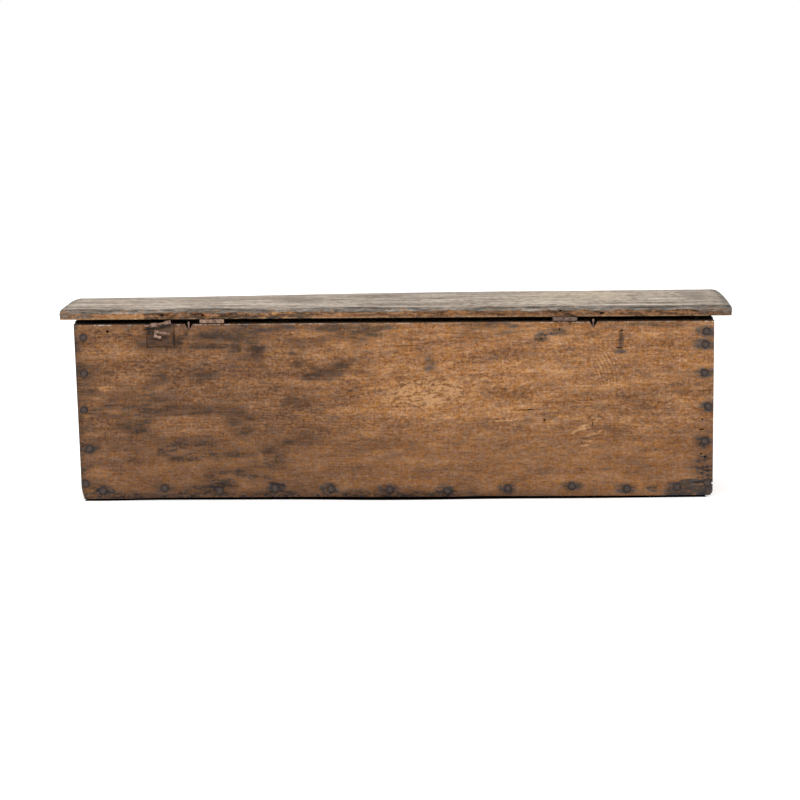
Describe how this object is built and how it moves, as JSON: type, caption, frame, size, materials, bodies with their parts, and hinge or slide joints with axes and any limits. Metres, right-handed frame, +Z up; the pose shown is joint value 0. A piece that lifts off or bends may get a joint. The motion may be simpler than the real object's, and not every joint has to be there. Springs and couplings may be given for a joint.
{
  "type": "six-board chest",
  "caption": "Low nailed plank chest with an overhanging hinged lid, butt hinges along the back and the stubs of older hinges beside them; for storing bedding, clothes or tools.",
  "frame": {"origin": "on the floor, under the middle of the whole chest's box", "axes": "+X along the chest, to the right when looking at its hinged back; +Y to its front, away from the hinges; +Z up"},
  "size_m": [1.0584, 0.2866, 0.3104],
  "materials": {
    "plank": "old brown hardwood, dry and stained",
    "inner_plank": "bare wood",
    "lid_plank": "weathered grey-brown",
    "nail_iron": "dark wrought iron",
    "hinge_iron": "dull rusted iron"
  },
  "bodies": {
    "case": {"back_board": "plank", "front_board": "plank", "left_end_board": "plank", "right_end_board": "plank", "bottom_board": "inner_plank", "left_hinge_back_leaf": "hinge_iron", "left_hinge_pin": "hinge_iron", "right_hinge_back_leaf": "hinge_iron", "right_hinge_pin": "hinge_iron", "left_hinge_back_screw_1": "nail_iron", "left_hinge_back_screw_2": "nail_iron", "right_hinge_back_screw_1": "nail_iron", "right_hinge_back_screw_2": "nail_iron", "broken_hinge_pin": "hinge_iron", "broken_hinge_near_knuckle": "hinge_iron", "broken_hinge_far_knuckle": "hinge_iron", "broken_hinge_torn_leaf": "hinge_iron", "broken_hinge_nail": "nail_iron", "left_wire_hinge_stub": "nail_iron", "right_wire_hinge_stub": "nail_iron", "back_left_nail_1": "nail_iron", "back_left_nail_2": "nail_iron", "back_left_nail_3": "nail_iron", "back_left_nail_4": "nail_iron", "back_left_nail_5": "nail_iron", "back_right_nail_1": "nail_iron", "back_right_nail_2": "nail_iron", "back_right_nail_3": "nail_iron", "back_right_nail_4": "nail_iron", "back_right_nail_5": "nail_iron", "back_right_nail_6": "nail_iron", "back_foot_nail_1": "nail_iron", "back_foot_nail_2": "nail_iron", "back_foot_nail_3": "nail_iron", "back_foot_nail_4": "nail_iron", "back_foot_nail_5": "nail_iron", "back_foot_nail_6": "nail_iron", "back_foot_nail_7": "nail_iron", "back_foot_nail_8": "nail_iron", "back_foot_nail_9": "nail_iron", "back_foot_nail_10": "nail_iron", "back_foot_nail_11": "nail_iron", "front_left_nail_1": "nail_iron", "front_left_nail_2": "nail_iron", "front_left_nail_3": "nail_iron", "front_right_nail_1": "nail_iron", "front_right_nail_2": "nail_iron", "front_right_nail_3": "nail_iron", "front_foot_nail_1": "nail_iron", "front_foot_nail_2": "nail_iron", "front_foot_nail_3": "nail_iron", "front_foot_nail_4": "nail_iron", "front_foot_nail_5": "nail_iron"},
    "lid": {"lid_board": "lid_plank", "left_hinge_lid_leaf": "hinge_iron", "right_hinge_lid_leaf": "hinge_iron", "left_hinge_lid_screw_1": "nail_iron", "left_hinge_lid_screw_2": "nail_iron", "right_hinge_lid_screw_1": "nail_iron", "right_hinge_lid_screw_2": "nail_iron"}
  },
  "joints": [
    {"name": "lid_hinge", "type": "hinge", "parent": "case", "child": "lid", "pos_m": [0, -0.1402, 0.2842], "axis": [1, 0, 0], "range_deg": [0, 180]}
  ]
}
